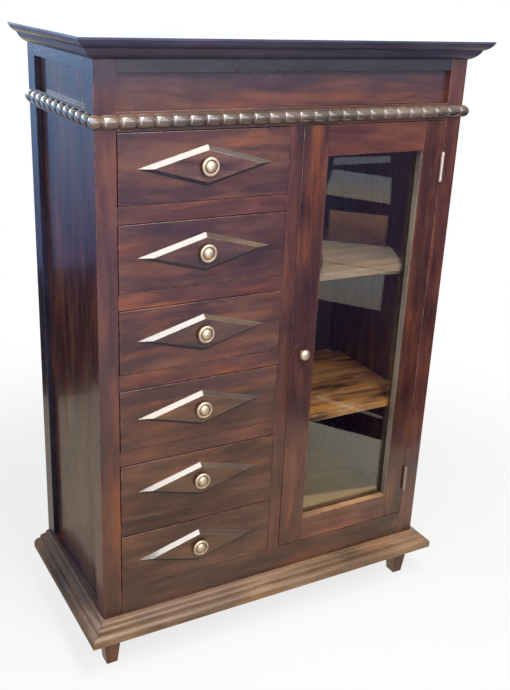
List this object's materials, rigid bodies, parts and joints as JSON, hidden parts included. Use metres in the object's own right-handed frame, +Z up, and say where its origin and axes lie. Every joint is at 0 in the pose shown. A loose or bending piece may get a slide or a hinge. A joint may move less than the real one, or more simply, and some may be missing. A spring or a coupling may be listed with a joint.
{
  "type": "haberdashery cabinet",
  "caption": "Tall wooden cabinet with a column of shallow drawers on the left and a glazed door on the right, bead mouldings and tapered feet.",
  "frame": {"origin": "on the floor, under the middle of the cabinet's whole width and depth", "axes": "+Z up, -Y out of the front with the drawers and the door, +X to the right as seen from the front, where the door is"},
  "size_m": [0.928, 0.439, 1.359],
  "materials": {
    "wood_dark": "polished dark red-brown rosewood",
    "wood_red": "polished red-brown rosewood with a lively figure",
    "wood_tan": "polished light brown wood",
    "wood_plain": "plain unpolished wood",
    "brass": "turned and polished pale brass",
    "hinge_metal": "dull grey brass",
    "glass": "clear window glass"
  },
  "bodies": {
    "carcass": {"post_front_left": "wood_red", "post_front_right": "wood_red", "post_back_left": "wood_red", "post_back_right": "wood_red", "side_panel_left": "wood_dark", "side_top_rail_left": "wood_dark", "side_bottom_rail_left": "wood_dark", "side_panel_right": "wood_dark", "side_top_rail_right": "wood_dark", "side_bottom_rail_right": "wood_dark", "frieze_board": "wood_dark", "front_bottom_rail": "wood_dark", "centre_partition": "wood_red", "bottom_board": "wood_plain", "back_panel": "wood_plain", "shelf_lower": "wood_plain", "shelf_upper": "wood_plain", "drawer_rail_1": "wood_dark", "drawer_rail_2": "wood_dark", "drawer_rail_3": "wood_dark", "drawer_rail_4": "wood_dark", "drawer_rail_5": "wood_dark", "top_board": "wood_dark", "bed_moulding_front": "wood_dark", "bed_moulding_left": "wood_dark", "bed_moulding_right": "wood_dark", "plinth_moulding_front": "wood_tan", "plinth_moulding_left": "wood_tan", "plinth_moulding_right": "wood_tan", "bead_rail_front": "wood_red", "bead_rail_left": "wood_dark", "bead_rail_right": "wood_dark", "hinge_upper_fixed_leaf": "hinge_metal", "hinge_lower_fixed_leaf": "hinge_metal"},
    "drawer_1": {"drawer_front_1": "wood_dark", "drawer_box_1": "wood_plain", "drawer_knob_1": "brass"},
    "drawer_2": {"drawer_front_2": "wood_dark", "drawer_box_2": "wood_plain", "drawer_knob_2": "brass"},
    "drawer_3": {"drawer_front_3": "wood_dark", "drawer_box_3": "wood_plain", "drawer_knob_3": "brass"},
    "drawer_4": {"drawer_front_4": "wood_dark", "drawer_box_4": "wood_plain", "drawer_knob_4": "brass"},
    "drawer_5": {"drawer_front_5": "wood_dark", "drawer_box_5": "wood_plain", "drawer_knob_5": "brass"},
    "drawer_6": {"drawer_front_6": "wood_dark", "drawer_box_6": "wood_plain", "drawer_knob_6": "brass"},
    "door": {"door_stile_closing": "wood_red", "door_stile_hinged": "wood_red", "door_rail_top": "wood_red", "door_rail_bottom": "wood_red", "door_pane": "glass", "door_knob": "brass", "hinge_upper_door_leaf": "hinge_metal", "hinge_lower_door_leaf": "hinge_metal"}
  },
  "joints": [
    {"name": "drawer_1_slide", "type": "slide", "parent": "carcass", "child": "drawer_1", "axis": [0, -1, 0], "range_m": [0, 0.28]},
    {"name": "drawer_2_slide", "type": "slide", "parent": "carcass", "child": "drawer_2", "axis": [0, -1, 0], "range_m": [0, 0.28]},
    {"name": "drawer_3_slide", "type": "slide", "parent": "carcass", "child": "drawer_3", "axis": [0, -1, 0], "range_m": [0, 0.28]},
    {"name": "drawer_4_slide", "type": "slide", "parent": "carcass", "child": "drawer_4", "axis": [0, -1, 0], "range_m": [0, 0.28]},
    {"name": "drawer_5_slide", "type": "slide", "parent": "carcass", "child": "drawer_5", "axis": [0, -1, 0], "range_m": [0, 0.28]},
    {"name": "drawer_6_slide", "type": "slide", "parent": "carcass", "child": "drawer_6", "axis": [0, -1, 0], "range_m": [0, 0.28]},
    {"name": "door_hinge", "type": "hinge", "parent": "carcass", "child": "door", "pos_m": [0.38225, -0.185, 0.694], "axis": [0, 0, 1], "range_deg": [0, 170]}
  ]
}
